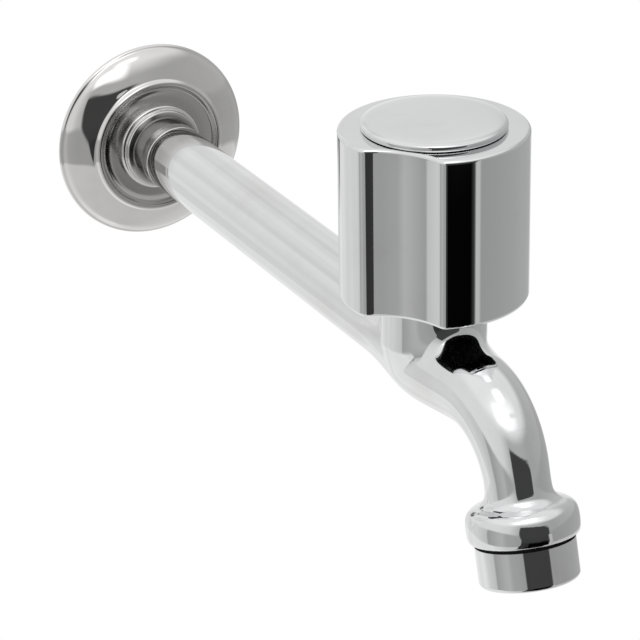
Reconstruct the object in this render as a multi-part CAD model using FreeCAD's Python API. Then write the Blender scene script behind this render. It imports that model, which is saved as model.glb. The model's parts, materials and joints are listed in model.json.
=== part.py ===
import FreeCAD, Part
import math
import os

# Wall-mounted kitchen tap, in millimetres. The wall is the plane Y = 0 and the tap stands out
# towards -Y. +Z is up. The origin is the centre of the inlet, in the plane of the wall.

Vector = FreeCAD.Vector

# Clearances between pieces
thread_gap = 0.05
running_gap = 0.05
film_gap = 0.02
slip_gap = 0.1
joint_line = 0.2

# How far a cutting tool reaches past the face it cuts, and how near two numbers count as one
overcut = 1.0
nearly = 1e-6

# Places of the main axes
wall_to_knob = 169.3
outlet_ahead = 46.8
outlet_drop = 39.9
outlet_lean = 15.5

# Wall flange, pressed from sheet
flange_radius = 28.65
flange_sheet = 1.0
flange_foot = 1.5
flange_foot_height = 0.9
flange_lip_height = 0.9
flange_lip_round = 0.7
flange_crown_set_in = 3.05
flange_crown_radius = flange_radius - flange_crown_set_in
flange_crown_height = 4.1
flange_crown_round = 12.0
flange_crown_inset = 0.7
bead_radius = 18.5
bead_height = 7.5
bead_half_width = 1.1
bead_round = 0.6
collar_seat_height = 6.6

# Inlet shank with a G 1/2 thread
thread_radius = 10.48
thread_pitch = 1.814
thread_depth = 1.16
thread_crest = 0.36
thread_flank = 0.64
thread_lead_in = 1.1
thread_run_out = 2.5
thread_in_wall = 18.0
shank_bore = 6.5
shank_collar_radius = 12.45
shank_collar_height = 1.7
shank_collar_round = 0.8
shank_step_radius = 11.4
shank_step_height = 1.6
shank_step_round = 0.7
shank_step_rise = 0.3
waist_radius = 8.35
waist_from_wall = 14.2
waist_round = 3.0
waist_land = 0.4
waist_flare = 1.3
waist_flare_rise = 0.6
nose_length = 4.8
nose_rise = 0.8
nose_round = 0.8
spigot_length = 9.0

# Flow reducer pressed into the inlet
reducer_length = 6.0
reducer_throat_length = 2.4
reducer_hole = 2.6
reducer_wall = 1.0
reducer_depth = 6.0

# Long tube
tube_radius = 9.5
tube_wall = 1.5
tube_edge_round = 0.4

# Lower body: radii of the outside, from the tube joint to the collar
socket_behind_knob = 24.0
socket_straight = 4.0
swell_rear = 14.0
swell_rear_radius = 9.95
chest_radius = 11.7
chest_length_rear = 7.0
chest_length_front = 7.0
chest_shoulder_rear = 10.85
chest_shoulder_front = 11.1
throat_ahead = 15.0
throat_radius = 10.0
spout_drop = 0.6
bend_radius = 20.3
bend_start_radius = 9.35
bend_middle_radius = 8.85
bend_end_radius = 7.95
spout_end_radius = 8.1
spout_end_above_collar = 3.0
spout_root_radius = 10.3
spout_root_depth = 1.5
spout_bore = 6.3
chest_bore = 6.8
chest_bore_ahead = 8.0

# Neck that holds the headwork
neck_radius = 13.2
neck_top = 24.0
neck_top_round = 0.6
neck_straight_to = 4.0
neck_swell_round = 5.0
neck_foot_radius = 10.7
neck_foot_height = -5.0
neck_foot_round = 1.5
neck_bottom = -7.0
neck_root_round = 7.0
chamber_floor = 0.6
chamber_radius = 10.0
chamber_wide_radius = 11.0
chamber_wide_from = 4.0
chamber_top = 13.2
seat_hole = 5.5
passage_radius = 3.0
passage_depth = 7.0
passage_start_depth = 2.45
passage_start_inside = 2.0
partition = 3.5
ring_recess_radius = 11.6
ring_recess_depth = 2.2

# Collar at the end of the spout, measured up from the outlet
collar_wall = 1.4
collar_bottom = 10.0
collar_shoulder_height = 17.6
collar_top = 19.3
collar_low_round = 1.3
collar_high_round = 2.0
collar_neck_radius = 9.0
gasket_seat = 17.2

# Aerator
housing_radius = 12.15
housing_thread_step = 0.1
housing_round = 1.0
housing_wall = 1.45
housing_lip = 1.2
housing_lip_width = 1.15
housing_groove_depth = 0.4
housing_groove_height = 0.6
housing_lead_in = 0.4
housing_top = 15.3
cartridge_wall = 1.0
cartridge_lip_width = 0.6
cartridge_lip = 0.8
screen_thickness = 0.4
screen_gap = 0.6
screen_hole = 0.55
screen_pitch = 1.7
screen_margin = 1.0
diffuser_thickness = 2.0
diffuser_height = 9.5
diffuser_holes = 12
diffuser_hole = 0.6
diffuser_hole_circle = 6.9
diffuser_cone_radius = 4.3
diffuser_cone_depth = 1.5
strainer_thickness = 0.8
strainer_height = 13.2
strainer_hole = 0.5
strainer_pitch = 1.8
strainer_rim = 1.2
gasket_inner_radius = 9.0

# Ceramic quarter-turn headwork
seal_height = 2.6
seal_width = 1.4
seal_round = 0.3
disc_radius = 8.25
disc_thickness = 2.8
port_inner_radius = 2.6
port_outer_radius = 6.8
port_angle = 78.0
headwork_skirt_radius = 9.3
headwork_bottom_lift = 1.0
window_width = 9.0
window_height = 3.2
window_lift = 0.2
drive_bar_width = 4.6
drive_bar_length = 15.2
drive_slot_depth = 1.2
stop_level_height = 2.6
stop_lug_radius = 7.9
stop_lug_angle = 50.0
stop_clearance_angle = 1.0
turn_angle = 90.0
thrust_collar_radius = 6.5
thrust_collar_skirt = 1.0
washer_thickness = 0.8
headwork_groove_radius = 9.6
headwork_groove_land = 0.4
headwork_ring_cord = 1.8
hex_across_flats = 22.0
hex_height = 6.0
hex_chamfer_width = 1.6
hex_chamfer_height = 1.0
boss_radius = 7.5
boss_height = 4.0
boss_round = 0.5
headwork_thread_from = 14.0
headwork_thread_lead_in = 0.8

# Spindle
spindle_radius = 4.0
spindle_ring_cord = 1.0
spindle_ring_low = 19.0
spindle_ring_spacing = 4.0
clip_thickness = 0.8
clip_outer_radius = 6.0
clip_groove_radius = 3.4
clip_open_angle = 70.0
spline_teeth = 20
spline_depth = 0.45
spline_from = 36.0
spindle_top = 45.0
screw_radius = 2.5
screw_hole_floor = 0.4

# Knob
knob_radius = 23.0
knob_bottom = 16.6
knob_height = 42.6
knob_wall = 2.0
knob_top_wall = 3.0
knob_edge_round = 0.9
notch_floor = 18.0
notch_radius = 21.0
notch_angle = 50.8
notch_edge_round = 2.4
well_radius = 13.8
well_floor_height = 31.9
well_floor_thickness = 2.5
hub_radius = 8.6
hub_bottom = 36.0
insert_radius = 6.4
insert_knurls = 24
insert_knurl_depth = 0.35
rib_count = 5
rib_thickness = 1.6
rib_height = 14.0
rib_root = 0.5
screw_head_radius = 4.5
screw_head_height = 3.0
screw_head_round = 0.9
screw_length = 12.0
screw_slot_width = 1.2
screw_slot_reach = 2.7
screw_slot_depth = 1.5

# Knob cap
cap_radius = 17.55
cap_edge_height = 1.6
cap_dome = 0.4
cap_edge_round = 0.9
cap_under_round = 0.25
cap_gap = 0.15
cap_plug_wall = 1.4
cap_plug_length = 4.5
cap_plug_root = 0.8
cap_plug_slots = 4
cap_plug_slot_width = 2.0


def edge_chain(corners):
    """Edges of a closed outline through the corners (r, z) or (r, z, rounding)."""
    count = len(corners)
    tangents = []
    for index, corner in enumerate(corners):
        here = Vector(corner[0], 0, corner[1])
        rounding = corner[2] if len(corner) > 2 else 0.0
        before = Vector(corners[index - 1][0], 0, corners[index - 1][1])
        after = Vector(corners[(index + 1) % count][0], 0, corners[(index + 1) % count][1])
        if rounding <= 0.0:
            tangents.append((here, None, here))
            continue
        to_before = (before - here).normalize()
        to_after = (after - here).normalize()
        half_open = to_before.getAngle(to_after) / 2.0
        setback = rounding / math.tan(half_open)
        middle_reach = rounding / math.sin(half_open) - rounding
        middle = here + (to_before + to_after).normalize() * middle_reach
        tangents.append((here + to_before * setback, middle, here + to_after * setback))
    edges = []
    for index, (start, middle, end) in enumerate(tangents):
        if middle is not None:
            edges.append(Part.Arc(start, middle, end).toShape())
        following = tangents[(index + 1) % count][0]
        if end.distanceToPoint(following) > nearly:
            edges.append(Part.makeLine(end, following))
    return edges


def turned(corners):
    """Solid of revolution about the Z axis from an outline in radius and height."""
    face = Part.Face(Part.Wire(edge_chain(corners)))
    return face.revolve(Vector(0, 0, 0), Vector(0, 0, 1), 360)


def ring(inner, outer, low, high):
    """Plain ring or, with inner 0, a plain disc."""
    return turned([(inner, low), (outer, low), (outer, high), (inner, high)])


def torus(centre_radius, cord_radius, height):
    return Part.makeTorus(centre_radius, cord_radius, Vector(0, 0, height), Vector(0, 0, 1))


def box(x0, x1, y0, y1, z0, z1):
    return Part.makeBox(x1 - x0, y1 - y0, z1 - z0, Vector(x0, y0, z0))


def sector(inner, outer, low, high, middle_angle, angle):
    """Part of a ring, centred on middle_angle degrees from +X."""
    corners = [(inner, low), (outer, low), (outer, high), (inner, high)]
    face = Part.Face(Part.Wire(edge_chain(corners)))
    solid = face.revolve(Vector(0, 0, 0), Vector(0, 0, 1), angle)
    solid.rotate(Vector(0, 0, 0), Vector(0, 0, 1), middle_angle - angle / 2.0)
    return solid


def holed(solid, tools):
    """Solid with all the tools cut out of it."""
    return solid.cut(Part.makeCompound(tools))


def prism(points, low, high):
    wire = Part.makePolygon([Vector(x, y, low) for x, y in points + points[:1]])
    return Part.Face(wire).extrude(Vector(0, 0, high - low))


def star(teeth, root, tip, low, high):
    """Splined bar: a prism with pointed teeth."""
    points = []
    for step in range(2 * teeth):
        reach = tip if step % 2 == 0 else root
        angle = math.pi * step / teeth
        points.append((reach * math.cos(angle), reach * math.sin(angle)))
    return prism(points, low, high)


def hole_grid(radius, hole, pitch, low, high):
    """Round holes on a square grid inside a circle."""
    holes = []
    steps = int(radius / pitch) + 1
    for column in range(-steps, steps + 1):
        for row in range(-steps, steps + 1):
            x = column * pitch
            y = row * pitch
            if math.hypot(x, y) + hole < radius:
                holes.append(Part.makeCylinder(hole, high - low, Vector(x, y, low)))
    return holes


def out_of_wall(solid):
    """Turns local +Z to -Y, so heights become distances from the wall."""
    placed = solid.copy()
    placed.rotate(Vector(0, 0, 0), Vector(1, 0, 0), 90)
    return placed


def on_knob_axis(solid):
    placed = solid.copy()
    placed.translate(Vector(0, -wall_to_knob, 0))
    return placed


def on_outlet(solid):
    """Leans local +Z back along the outlet's axis and moves it to the outlet."""
    placed = solid.copy()
    placed.rotate(Vector(0, 0, 0), Vector(1, 0, 0), -outlet_lean)
    placed.translate(Vector(0, -wall_to_knob - outlet_ahead, -outlet_drop))
    return placed


# Wall flange: a lip on the wall, a domed face, a bead, and a flat seat for the shank's collar.
def make_wall_flange():
    hole = thread_radius + slip_gap * 2
    bead_out = bead_radius + bead_half_width
    bead_in = bead_radius - bead_half_width
    foot_in = flange_radius - flange_foot
    under = collar_seat_height - flange_sheet
    front = [
        (flange_radius, 0),
        (flange_radius, flange_lip_height, flange_lip_round),
        (flange_crown_radius, flange_crown_height, flange_crown_round),
        (bead_out, collar_seat_height, bead_round),
        (bead_radius, bead_height, bead_round),
        (bead_in, collar_seat_height, bead_round / 2),
        (hole, collar_seat_height),
    ]
    back = [
        (hole, under),
        (bead_out, under),
        (flange_crown_radius - flange_crown_inset, flange_crown_height - flange_sheet),
        (foot_in, flange_foot_height),
        (foot_in, 0),
    ]
    return out_of_wall(turned(front + back))


# Inlet shank: thread, collar that holds the flange, stepped trumpet, waist and rounded nose.
nose_from = waist_from_wall + waist_land
tube_start = nose_from + nose_length
shank_end = tube_start + spigot_length
spigot_radius = tube_radius - tube_wall - thread_gap


def thread_ridges(root):
    """Corners of the thread's ridges, from the inlet to the run-out behind the flange."""
    ridges = []
    turns = int((thread_in_wall + collar_seat_height - thread_lead_in - thread_run_out) / thread_pitch)
    for turn in range(turns):
        start = -thread_in_wall + thread_lead_in + thread_pitch * turn
        ridges.append((root, start))
        ridges.append((thread_radius, start + thread_flank))
        ridges.append((thread_radius, start + thread_flank + thread_crest))
        ridges.append((root, start + 2 * thread_flank + thread_crest))
    return ridges


def make_inlet_shank():
    collar_front = collar_seat_height + shank_collar_height
    step_front = collar_front + shank_step_height
    root = thread_radius - thread_depth
    outline = [(shank_bore, -thread_in_wall), (root, -thread_in_wall)]
    outline += thread_ridges(root)
    outline += [
        (root, collar_seat_height),
        (shank_collar_radius, collar_seat_height),
        (shank_collar_radius, collar_front, shank_collar_round),
        (shank_step_radius, collar_front + shank_step_rise, shank_step_rise),
        (shank_step_radius, step_front, shank_step_round),
        (waist_radius + waist_flare, step_front + waist_flare_rise, waist_flare_rise),
        (waist_radius, waist_from_wall, waist_round),
        (waist_radius, nose_from),
        (tube_radius, nose_from + nose_rise, nose_round),
        (tube_radius, tube_start, tube_edge_round),
        (spigot_radius, tube_start),
        (spigot_radius, shank_end),
        (shank_bore, shank_end),
    ]
    return out_of_wall(turned(outline))


def make_flow_reducer():
    low = -thread_in_wall + reducer_depth
    high = low + reducer_length
    outer = shank_bore - running_gap
    outline = [
        (reducer_hole, low),
        (outer, low),
        (outer, high),
        (outer - reducer_wall, high),
        (reducer_hole, low + reducer_throat_length),
    ]
    return out_of_wall(turned(outline))


def make_body_tube():
    bore = tube_radius - tube_wall
    end = wall_to_knob - socket_behind_knob
    outline = [
        (bore, tube_start),
        (tube_radius, tube_start, tube_edge_round),
        (tube_radius, end),
        (bore, end),
    ]
    return out_of_wall(turned(outline))


# Centreline of the spout, seen from the side: a level run, an arc and a leaning straight.
lean = math.radians(outlet_lean)
bend_turn = math.pi / 2 - lean
axis_to_corner = (outlet_drop - spout_drop) / math.cos(lean)
corner_ahead = outlet_ahead - axis_to_corner * math.sin(lean)
bend_setback = bend_radius * math.tan(bend_turn / 2)
bend_ahead = corner_ahead - bend_setback


def cross_section(ahead, height, radius, slope):
    """Circle across the body: ahead of the knob axis, at a height, facing down by slope degrees."""
    circle = Part.makeCircle(radius)
    circle.rotate(Vector(0, 0, 0), Vector(1, 0, 0), 90 + slope)
    circle.translate(Vector(0, -wall_to_knob - ahead, height))
    return Part.Wire(circle)


def bend_section(share, radius):
    turn = bend_turn * share
    ahead = bend_ahead + bend_radius * math.sin(turn)
    height = -spout_drop - bend_radius * (1 - math.cos(turn))
    return cross_section(ahead, height, radius, math.degrees(turn))


def straight_section(above_outlet, radius):
    ahead = outlet_ahead - above_outlet * math.sin(lean)
    height = -outlet_drop + above_outlet * math.cos(lean)
    return cross_section(ahead, height, radius, 90 - outlet_lean)


def make_lower_outside():
    """Loft through round sections, from the tube's end, along the spout and into the collar."""
    quarter = (bend_start_radius + bend_middle_radius) / 2
    three_quarters = (bend_middle_radius + bend_end_radius) / 2
    sections = [
        cross_section(-socket_behind_knob, 0, tube_radius, 0),
        cross_section(-socket_behind_knob + socket_straight, 0, tube_radius, 0),
        cross_section(-swell_rear, 0, swell_rear_radius, 0),
        cross_section(-chest_length_rear, 0, chest_shoulder_rear, 0),
        cross_section(0, 0, chest_radius, 0),
        cross_section(chest_length_front, -spout_drop / 2, chest_shoulder_front, 0),
        cross_section(throat_ahead, -spout_drop, throat_radius, 0),
        bend_section(0, bend_start_radius),
        bend_section(0.25, quarter),
        bend_section(0.5, bend_middle_radius),
        bend_section(0.75, three_quarters),
        bend_section(1, bend_end_radius),
        straight_section(collar_top + spout_end_above_collar, spout_end_radius),
        straight_section(collar_top, collar_neck_radius),
        straight_section(collar_top - spout_root_depth, spout_root_radius),
    ]
    return Part.makeLoft(sections, True, False)


def make_spout_way():
    """Water way from the chamber's side, round the bend and down to the aerator."""
    sections = [cross_section(chest_bore_ahead, -spout_drop, chest_bore, 0)]
    steps = 3
    for step in range(steps + 1):
        share = step / steps
        sections.append(bend_section(share, chest_bore + (spout_bore - chest_bore) * share))
    sections.append(straight_section(gasket_seat - overcut, spout_bore))
    return Part.makeLoft(sections, True, False)


# The collar's bore and outside follow from the aerator's housing.
aerator_thread_radius = housing_radius - housing_thread_step
collar_radius = aerator_thread_radius + collar_wall


def make_collar_outside():
    return on_outlet(turned([
        (0, collar_bottom),
        (collar_radius, collar_bottom, collar_low_round),
        (collar_radius, collar_shoulder_height, collar_high_round),
        (collar_neck_radius, collar_top),
        (0, collar_top),
    ]))


def make_neck_outside():
    return on_knob_axis(turned([
        (0, neck_bottom),
        (neck_foot_radius, neck_foot_height, neck_foot_round),
        (neck_radius, neck_straight_to, neck_swell_round),
        (neck_radius, neck_top, neck_top_round),
        (0, neck_top),
    ]))


def neck_root_edges(solid):
    """Edges where the neck grows out of the lower body, all round it."""
    chosen = []
    reach = neck_radius + overcut
    for edge in solid.Edges:
        bounds = edge.BoundBox
        behind = bounds.YMax < -wall_to_knob + reach
        ahead = bounds.YMin > -wall_to_knob - reach
        low = bounds.ZMax < chest_radius
        if behind and ahead and low and edge.Curve.TypeId == "Part::GeomBSplineCurve":
            chosen.append(edge)
    return chosen


# Inside of the valve body: the inlet way ends at a partition, dips under it to the seat, and
# the chamber above the seat opens forwards into the spout.
def make_inlet_way():
    rear_end = socket_behind_knob + spigot_length + overcut
    rear_face = chamber_radius + partition
    way = out_of_wall(Part.makeCylinder(shank_bore, rear_end - rear_face))
    way.translate(Vector(0, -wall_to_knob + rear_end, 0))
    dip_start = Vector(0, -wall_to_knob + rear_face + passage_start_inside, -passage_start_depth)
    dip_end = Vector(0, -wall_to_knob, -passage_depth)
    dip_run = dip_end - dip_start
    dip = Part.makeCylinder(passage_radius, dip_run.Length, dip_start, dip_run)
    return [way, dip, Part.makeSphere(passage_radius, dip_end)]


def make_seat_way():
    low = -passage_depth + passage_radius / 2
    return on_knob_axis(Part.makeCylinder(seat_hole, chamber_floor - low, Vector(0, 0, low)))


# Valve body: one casting with the tube spigot, the chest, the neck, the spout and its collar.
def make_valve_body():
    outside = make_lower_outside().fuse(make_neck_outside()).removeSplitter()
    outside = outside.makeFillet(neck_root_round, neck_root_edges(outside))
    outside = outside.fuse(make_collar_outside())
    spigot = out_of_wall(Part.makeCylinder(spigot_radius, spigot_length + overcut))
    spigot.translate(Vector(0, -wall_to_knob + socket_behind_knob + spigot_length, 0))
    outside = outside.fuse(spigot)

    chamber = on_knob_axis(turned([
        (0, chamber_floor),
        (chamber_radius, chamber_floor),
        (chamber_radius, chamber_wide_from),
        (chamber_wide_radius, chamber_wide_from),
        (chamber_wide_radius, chamber_top),
        (thread_radius, chamber_top),
        (thread_radius, neck_top - ring_recess_depth),
        (ring_recess_radius, neck_top - ring_recess_depth),
        (ring_recess_radius, neck_top + overcut),
        (0, neck_top + overcut),
    ]))
    aerator_hole = on_outlet(ring(0, aerator_thread_radius, collar_bottom - overcut, gasket_seat))
    return outside.cut(make_inlet_way() + [make_seat_way(), chamber, make_spout_way(), aerator_hole])


# Headwork: the brass cartridge screwed into the neck.
seal_top = chamber_floor + seal_height
fixed_top = seal_top + disc_thickness
moving_low = fixed_top + film_gap
moving_top = moving_low + disc_thickness
headwork_low = chamber_floor + headwork_bottom_lift
pocket_radius = disc_radius + running_gap
window_low = moving_top + window_lift
window_top = window_low + window_height
stop_top = window_top + stop_level_height
washer_top = stop_top + washer_thickness
hex_top = neck_top + hex_height
boss_top = hex_top + boss_height
spindle_bore = spindle_radius + running_gap
stop_ring_radius = thrust_collar_radius + slip_gap
stop_recess_radius = stop_lug_radius + slip_gap
headwork_thread_radius = thread_radius - thread_gap


def make_hexagon():
    """Hexagon for the spanner, with its upper corners chamfered."""
    corner = hex_across_flats / 2 / math.cos(math.pi / 6)
    points = []
    for side in range(6):
        angle = math.pi / 3 * side
        points.append((corner * math.cos(angle), corner * math.sin(angle)))
    chamfered = turned([
        (0, neck_top),
        (corner, neck_top),
        (corner, hex_top - hex_chamfer_height),
        (corner - hex_chamfer_width, hex_top),
        (0, hex_top),
    ])
    core = ring(0, spindle_bore, neck_top - overcut, hex_top + overcut)
    return prism(points, neck_top, hex_top).common(chamfered).cut(core)


def make_headwork_body():
    groove_low = neck_top - ring_recess_depth - headwork_groove_land
    outline = [
        (spindle_bore, washer_top),
        (stop_ring_radius, washer_top),
        (stop_ring_radius, window_top),
        (pocket_radius, window_top),
        (pocket_radius, headwork_low),
        (headwork_skirt_radius, headwork_low),
        (headwork_skirt_radius, headwork_thread_from),
        (headwork_thread_radius, headwork_thread_from + headwork_thread_lead_in),
        (headwork_thread_radius, groove_low),
        (headwork_groove_radius, groove_low),
        (headwork_groove_radius, neck_top),
        (boss_radius, neck_top),
        (boss_radius, boss_top, boss_round),
        (spindle_bore, boss_top),
    ]
    body = turned(outline).fuse(make_hexagon())
    half = window_width / 2
    reach = headwork_skirt_radius + overcut
    window = box(-half, half, -reach, reach, window_low, window_top)
    window_core = ring(0, pocket_radius - slip_gap, window_low - overcut, window_top + overcut)
    recess_angle = stop_lug_angle + turn_angle + 2 * stop_clearance_angle
    recess_middle = turn_angle / 2
    recess = sector(stop_ring_radius - overcut, stop_recess_radius, window_top, stop_top, recess_middle,
                    recess_angle)
    return on_knob_axis(holed(body, [window.cut(window_core), recess]))


def make_headwork_o_ring():
    cord = headwork_ring_cord / 2
    middle = (headwork_groove_radius + ring_recess_radius) / 2
    return on_knob_axis(torus(middle, cord, neck_top - ring_recess_depth / 2))


def make_seat_seal():
    outer = disc_radius - slip_gap
    return on_knob_axis(turned([
        (outer - seal_width, chamber_floor, seal_round),
        (outer, chamber_floor, seal_round),
        (outer, seal_top),
        (outer - seal_width, seal_top),
    ]))


def ported_disc(low, high, first_port):
    """Ceramic disc with two facing ports, the first one centred on first_port degrees."""
    under = low - overcut
    over = high + overcut
    ports = []
    for middle in (first_port, first_port + 180):
        ports.append(sector(port_inner_radius, port_outer_radius, under, over, middle, port_angle))
    return holed(ring(0, disc_radius, low, high), ports)


def make_ceramic_disc_fixed():
    return on_knob_axis(ported_disc(seal_top, fixed_top, 0))


def make_ceramic_disc_turning():
    disc = ported_disc(moving_low, moving_top, 90)
    half = drive_bar_width / 2 + running_gap
    reach = disc_radius + overcut
    slot = box(-reach, reach, -half, half, moving_top - drive_slot_depth, moving_top + overcut)
    return on_knob_axis(disc.cut(slot))


def make_friction_washer():
    return on_knob_axis(ring(spindle_radius + running_gap, thrust_collar_radius, stop_top + film_gap,
                             washer_top - film_gap))


# Spindle: drive bar, stop lug, thrust collar, shaft with two ring grooves, clip groove and splines.
clip_low = boss_top + slip_gap
clip_top = clip_low + clip_thickness
ring_groove_radius = spindle_bore - 2 * film_gap - spindle_ring_cord
ring_groove_half = spindle_ring_cord / 2 + running_gap


def spindle_ring_heights():
    return [spindle_ring_low, spindle_ring_low + spindle_ring_spacing]


def make_spindle():
    collar_low = window_top - thrust_collar_skirt
    outline = [
        (0, collar_low),
        (thrust_collar_radius, collar_low),
        (thrust_collar_radius, stop_top),
        (spindle_radius, stop_top),
    ]
    for height in spindle_ring_heights():
        outline += [
            (spindle_radius, height - ring_groove_half),
            (ring_groove_radius, height - ring_groove_half),
            (ring_groove_radius, height + ring_groove_half),
            (spindle_radius, height + ring_groove_half),
        ]
    outline += [
        (spindle_radius, clip_low - film_gap),
        (clip_groove_radius, clip_low - film_gap),
        (clip_groove_radius, clip_top + film_gap),
        (spindle_radius - spline_depth, clip_top + film_gap),
        (spindle_radius - spline_depth, spindle_top),
        (0, spindle_top),
    ]
    shaft = turned(outline)
    splines = star(spline_teeth, spindle_radius - spline_depth, spindle_radius, spline_from, spindle_top)
    bar_low = moving_top - drive_slot_depth + film_gap
    half_length = drive_bar_length / 2
    half_width = drive_bar_width / 2
    bar = box(-half_length, half_length, -half_width, half_width, bar_low, window_top)
    bar = bar.common(ring(0, pocket_radius - slip_gap, bar_low, window_top))
    lug_inner = thrust_collar_radius - overcut
    lug_low = window_top + slip_gap
    lug_top = stop_top - slip_gap
    lug = sector(lug_inner, stop_lug_radius, lug_low, lug_top, 0, stop_lug_angle)
    spindle = shaft.fuse([splines, bar, lug])
    hole_low = clip_top + screw_hole_floor
    screw_hole = ring(0, screw_radius + thread_gap, hole_low, spindle_top + overcut)
    return on_knob_axis(spindle.cut(screw_hole))


def make_spindle_o_rings():
    cord = spindle_ring_cord / 2
    middle = ring_groove_radius + cord + film_gap
    rings = [torus(middle, cord, height) for height in spindle_ring_heights()]
    return on_knob_axis(Part.makeCompound(rings))


def make_spindle_clip():
    inner = clip_groove_radius + film_gap
    closed_angle = 360 - clip_open_angle
    return on_knob_axis(sector(inner, clip_outer_radius, clip_low, clip_top, 90, closed_angle))


# Knob: an open-bottomed shell with one hollow notch down its side and a well for the screw.
knob_top = knob_bottom + knob_height
notch_centre = notch_floor + notch_radius
well_floor = knob_bottom + well_floor_height
well_under = well_floor - well_floor_thickness


def knob_section(inset, low, high):
    """Round bar with the notch, all its walls moved in by inset."""
    bar = Part.makeCylinder(knob_radius - inset, high - low, Vector(0, 0, low))
    centre = Vector(0, -notch_centre, low - overcut)
    groove = Part.makeCylinder(notch_radius + inset, high - low + 2 * overcut, centre)
    return bar.cut(groove)


def upright_edges(solid, low, high):
    """Straight edges that run from low to high, parallel to Z."""
    chosen = []
    for edge in solid.Edges:
        ends = [vertex.Point for vertex in edge.Vertexes]
        if len(ends) < 2:
            continue
        run = ends[1] - ends[0]
        upright = math.hypot(run.x, run.y) < nearly
        if upright and abs(abs(run.z) - (high - low)) < nearly and abs(ends[0].x) > nearly:
            chosen.append(edge)
    return chosen


def edges_at_height(solid, height):
    chosen = []
    for edge in solid.Edges:
        bounds = edge.BoundBox
        if abs(bounds.ZMin - height) < nearly and abs(bounds.ZMax - height) < nearly:
            chosen.append(edge)
    return chosen


def knob_ribs():
    """Upright ribs between the well and the shell, with none at the notch."""
    inner = well_radius + knob_wall - rib_root
    outer = knob_radius - knob_wall + rib_root
    high = knob_top - knob_top_wall
    ribs = []
    for number in range(rib_count):
        rib = box(inner, outer, -rib_thickness / 2, rib_thickness / 2, high - rib_height, high)
        rib.rotate(Vector(0, 0, 0), Vector(0, 0, 1), -90 + 360.0 * (number + 1) / (rib_count + 1))
        ribs.append(rib)
    return ribs


def make_knob_shell():
    block = knob_section(0, knob_bottom, knob_top)
    outer = block.makeFillet(notch_edge_round, upright_edges(block, knob_bottom, knob_top))
    rims = edges_at_height(outer, knob_top) + edges_at_height(outer, knob_bottom)
    outer = outer.makeFillet(knob_edge_round, rims)
    hollow = knob_section(knob_wall, knob_bottom - overcut, knob_top - knob_top_wall)
    well_wall = ring(0, well_radius + knob_wall, well_under, knob_top)
    hub = ring(0, hub_radius, hub_bottom, well_floor)
    hollow = holed(hollow, [well_wall, hub] + knob_ribs())
    well = ring(0, well_radius, well_floor, knob_top + overcut)
    insert_seat = ring(0, insert_radius + thread_gap, hub_bottom - overcut, well_under)
    screw_way = ring(0, screw_radius + 2 * slip_gap, well_under - overcut, well_floor + overcut)
    shell = outer.cut([hollow, well, insert_seat, screw_way])
    shell.rotate(Vector(0, 0, 0), Vector(0, 0, 1), -notch_angle)
    return on_knob_axis(shell)


def make_knob_insert():
    bush = star(insert_knurls, insert_radius - insert_knurl_depth, insert_radius, hub_bottom, well_under)
    sleeve = ring(0, insert_radius - insert_knurl_depth, hub_bottom, well_under)
    root = spindle_radius - spline_depth + slip_gap
    socket = star(spline_teeth, root, spindle_radius + slip_gap, hub_bottom - overcut, well_under + overcut)
    return on_knob_axis(bush.fuse(sleeve).cut(socket))


def make_knob_screw():
    top = well_floor + screw_head_height
    screw = turned([
        (0, well_floor - screw_length),
        (screw_radius, well_floor - screw_length),
        (screw_radius, well_floor),
        (screw_head_radius, well_floor),
        (screw_head_radius, top, screw_head_round),
        (0, top),
    ])
    half = screw_slot_width / 2
    reach = screw_slot_reach
    low = top - screw_slot_depth
    high = top + overcut
    return on_knob_axis(screw.cut([
        box(-reach, reach, -half, half, low, high),
        box(-half, half, -reach, reach, low, high),
    ]))


def cap_plug():
    """Slotted ring under the cap that grips the knob's well."""
    outer = well_radius - running_gap
    inner = outer - cap_plug_wall
    low = knob_top - cap_plug_length
    slot_top = knob_top + cap_gap - cap_plug_root
    half = cap_plug_slot_width / 2
    slots = []
    for number in range(cap_plug_slots):
        slot = box(inner - overcut, outer + overcut, -half, half, low - overcut, slot_top)
        slot.rotate(Vector(0, 0, 0), Vector(0, 0, 1), 360.0 * number / cap_plug_slots)
        slots.append(slot)
    return holed(ring(inner, outer, low, knob_top + cap_gap + cap_under_round), slots)


def make_knob_cap():
    low = knob_top + cap_gap
    crown = low + cap_edge_height + cap_dome
    dome_radius = (cap_radius ** 2 + cap_dome ** 2) / (2 * cap_dome)
    disc = turned([
        (0, low),
        (cap_radius, low, cap_under_round),
        (cap_radius, crown, cap_edge_round),
        (0, crown),
    ])
    dome = Part.makeSphere(dome_radius, Vector(0, 0, crown - dome_radius))
    return on_knob_axis(disc.common(dome).fuse(cap_plug()))


# Aerator: heights are measured up from the outlet along its axis.
cartridge_radius = housing_radius - housing_wall - slip_gap
cartridge_bore = cartridge_radius - cartridge_wall
insert_fit = cartridge_bore - running_gap
cartridge_low = housing_lip + running_gap


def make_aerator_housing():
    bore = housing_radius - housing_wall
    mouth = bore - housing_lip_width
    thread = aerator_thread_radius - thread_gap
    groove = thread - housing_groove_depth
    groove_top = collar_bottom + housing_groove_height
    skirt_top = collar_bottom - joint_line
    return on_outlet(turned([
        (mouth, 0),
        (housing_radius, 0, housing_round),
        (housing_radius, skirt_top),
        (groove, skirt_top),
        (groove, groove_top),
        (thread, groove_top + housing_lead_in),
        (thread, housing_top),
        (bore, housing_top),
        (bore, housing_lip),
        (mouth, housing_lip),
    ]))


def make_aerator_gasket():
    outer = aerator_thread_radius - slip_gap
    return on_outlet(ring(gasket_inner_radius, outer, housing_top, gasket_seat))


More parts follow.
